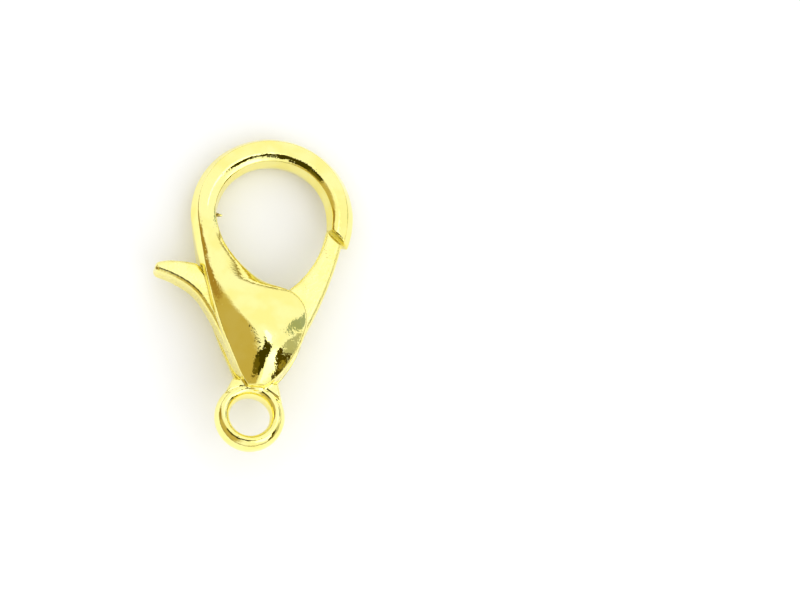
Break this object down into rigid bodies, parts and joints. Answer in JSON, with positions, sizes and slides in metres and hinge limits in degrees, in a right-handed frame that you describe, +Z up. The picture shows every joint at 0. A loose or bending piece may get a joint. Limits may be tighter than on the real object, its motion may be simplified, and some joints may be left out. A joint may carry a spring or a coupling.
{
  "type": "lobster clasp",
  "caption": "Gold-plated lobster clasp for a necklace or bracelet: a one-piece hook with a domed body and a ring at its foot, closed by a sprung lever with a thumb tab.",
  "frame": {"origin": "the surface the clasp lies on, under the middle of its footprint", "axes": "+Y along the clasp from the ring to the crown of the hook, +X towards the gate side, +Z up; the clasp lies on its back, so its own front leans about 7 degrees towards the ring"},
  "size_m": [0.0072, 0.012, 0.0031],
  "materials": {
    "gold_plate": "bright lemon-gold plate over a zinc casting, polished, with a fine pebbled surface",
    "gold_plate_lever": "bright lemon-gold plate, as cast on the faces and speckled",
    "pin_steel": "plain bright steel",
    "spring_steel": "plain spring steel"
  },
  "bodies": {
    "casting": {"body": "gold_plate", "pivot_pin": "pin_steel", "return_spring": "spring_steel"},
    "trigger": {"lever": "gold_plate_lever"}
  },
  "joints": [
    {"name": "lever_pivot", "type": "hinge", "parent": "casting", "child": "trigger", "pos_m": [0.00071, -0.00226, 0.00161], "axis": [-0.0225, 0.1264, 0.9917], "range_deg": [0, 22], "stiffness_Nm_per_rad": 0.008, "deforming": ["return_spring"]}
  ]
}
